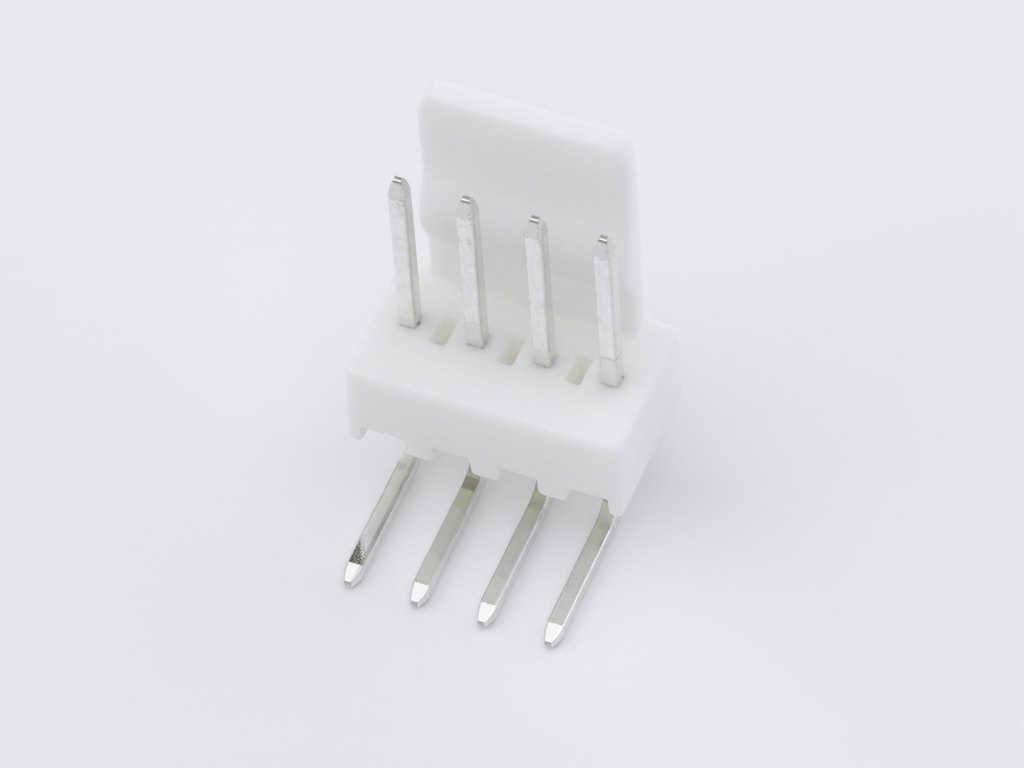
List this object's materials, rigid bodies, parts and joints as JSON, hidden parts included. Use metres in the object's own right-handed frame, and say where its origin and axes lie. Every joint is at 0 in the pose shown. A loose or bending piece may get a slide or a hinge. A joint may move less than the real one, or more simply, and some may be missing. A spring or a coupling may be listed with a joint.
{
  "type": "right-angle friction-lock pin header",
  "caption": "Right-angle board header: square tin-plated posts pressed through a white moulded housing with a locking wall, bent into solder tails for a board.",
  "frame": {"origin": "on the board's surface, which is the plane of the housing's seat, in the middle of the row of solder tails, on the tails' axis", "axes": "+X along the row of posts, +Z along the mating posts towards their tips, -Y along the solder tails into the board"},
  "size_m": [0.0104, 0.0098, 0.0174],
  "materials": {
    "housing_nylon": "natural white moulded nylon, satin",
    "tin_plate": "bright tin plate over copper alloy"
  },
  "bodies": {
    "root": {"housing": "housing_nylon", "pin_1": "tin_plate", "pin_2": "tin_plate", "pin_3": "tin_plate", "pin_4": "tin_plate"}
  },
  "joints": []
}
